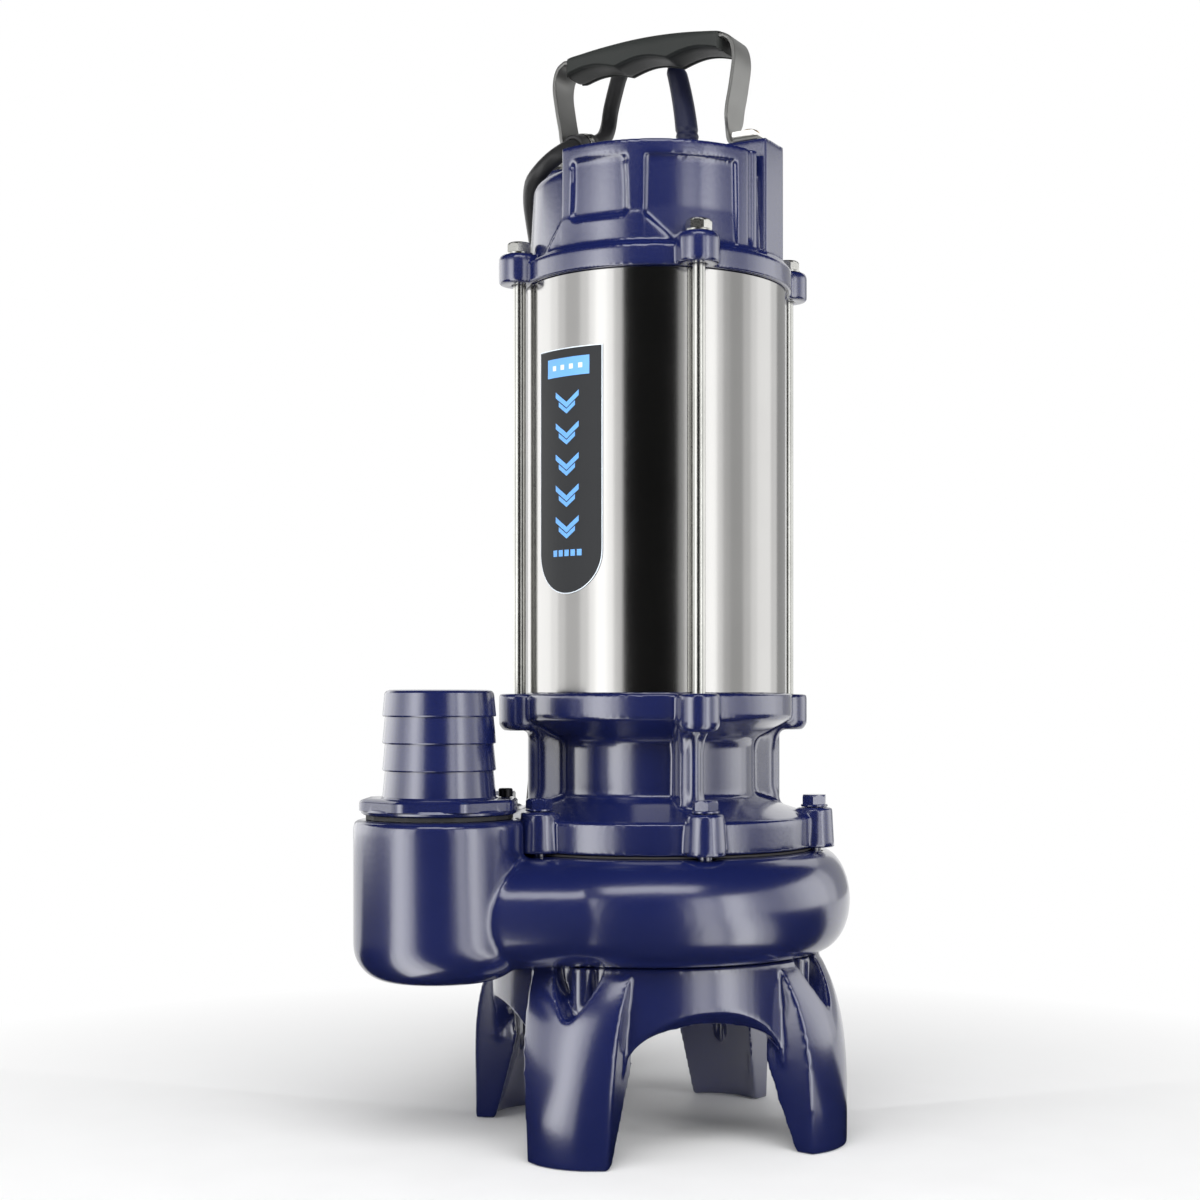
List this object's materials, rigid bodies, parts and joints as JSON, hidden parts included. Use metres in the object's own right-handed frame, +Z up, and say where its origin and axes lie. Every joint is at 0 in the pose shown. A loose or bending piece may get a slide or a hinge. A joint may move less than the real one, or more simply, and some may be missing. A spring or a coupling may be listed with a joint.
{
  "type": "slurry pump",
  "caption": "Upright submersible slurry pump with cast spiral casing on four legs, side outlet with hose barb, steel motor jacket, tie bolts, carrying handle and cable",
  "frame": {"origin": "middle of the pump's footprint at floor level, without the power lead", "axes": "+Z up along the shaft, -Y towards the viewer of the picture, outlet on the -X side"},
  "size_m": [0.2824, 0.5025, 0.6605],
  "materials": {
    "black_rubber": "satin black rubber",
    "black_steel": "blackened steel",
    "brass": "plain brass",
    "carbon": "dark carbon and ceramic",
    "copper": "varnished copper wire",
    "cream_plastic": "cream moulded plastic",
    "gasket": "oiled paper gasket",
    "grey_iron": "machined grey iron",
    "grip_plastic": "charcoal moulded plastic",
    "ground_steel": "ground steel",
    "label_dark": "dark printed metal plate",
    "lamination": "stacked steel laminations",
    "navy_paint": "glossy navy enamel on cast iron",
    "navy_rubber": "navy-black rubber",
    "stainless": "polished stainless steel sheet",
    "strap_steel": "grey blasted steel",
    "zinc": "nickel-white plated steel"
  },
  "bodies": {
    "pump": {"base": "navy_paint", "volute": "navy_paint", "hose_barb": "navy_paint", "outlet_gasket": "black_rubber", "outlet_lock_screw": "black_steel", "oil_chamber": "navy_paint", "volute_bolt_1": "navy_paint", "volute_bolt_2": "navy_paint", "volute_bolt_3": "navy_paint", "volute_bolt_4": "navy_paint", "volute_bolt_5": "navy_paint", "volute_bolt_6": "navy_paint", "volute_gasket": "gasket", "oil_plug": "brass", "motor_jacket": "stainless", "lower_jacket_seal": "black_rubber", "upper_jacket_seal": "black_rubber", "stator_core": "lamination", "lower_winding": "copper", "upper_winding": "copper", "upper_bearing_bracket": "grey_iron", "wave_washer": "ground_steel", "tie_bolt_1": "zinc", "tie_bolt_2": "zinc", "tie_bolt_3": "zinc", "tie_bolt_4": "zinc", "label_plate": "label_dark", "seal_plate": "grey_iron", "lower_seal_seat": "carbon", "upper_seal_seat": "carbon", "lower_bearing_outer_ring": "ground_steel", "upper_bearing_outer_ring": "ground_steel", "top_cover": "navy_paint", "capacitor": "cream_plastic", "capacitor_strap": "zinc", "terminal_block": "cream_plastic", "handle_strap": "strap_steel", "handle_screw_1": "brass", "handle_screw_2": "brass", "handle_grip": "grip_plastic", "cable_gland_nut": "navy_paint", "cable_boot": "navy_rubber", "cable_bush": "black_rubber", "cable_clamp": "zinc", "power_cable": "black_rubber", "cable_hank": "black_rubber", "hank_tie": "black_rubber", "plug": "black_rubber"},
    "rotor": {"shaft": "ground_steel", "rotor_core": "lamination", "impeller": "grey_iron", "impeller_key": "ground_steel", "impeller_nut": "zinc", "lower_bearing_inner_ring": "ground_steel", "upper_bearing_inner_ring": "ground_steel", "lower_seal_head": "ground_steel", "upper_seal_head": "ground_steel", "seal_spring": "ground_steel"},
    "bearing_balls": {"lower_bearing_balls": "ground_steel", "upper_bearing_balls": "ground_steel"}
  },
  "joints": [
    {"name": "rotor_spin", "type": "hinge", "parent": "pump", "child": "rotor", "pos_m": [0.02676, 0.00678, 0.3], "axis": [0, 0, 1], "continuous": true},
    {"name": "ball_roll", "type": "hinge", "parent": "pump", "child": "bearing_balls", "pos_m": [0.02676, 0.00678, 0.36], "axis": [0, 0, 1], "continuous": true}
  ],
  "couplings": [
    {"joint": "ball_roll", "follows": "rotor_spin", "ratio": 0.385}
  ]
}
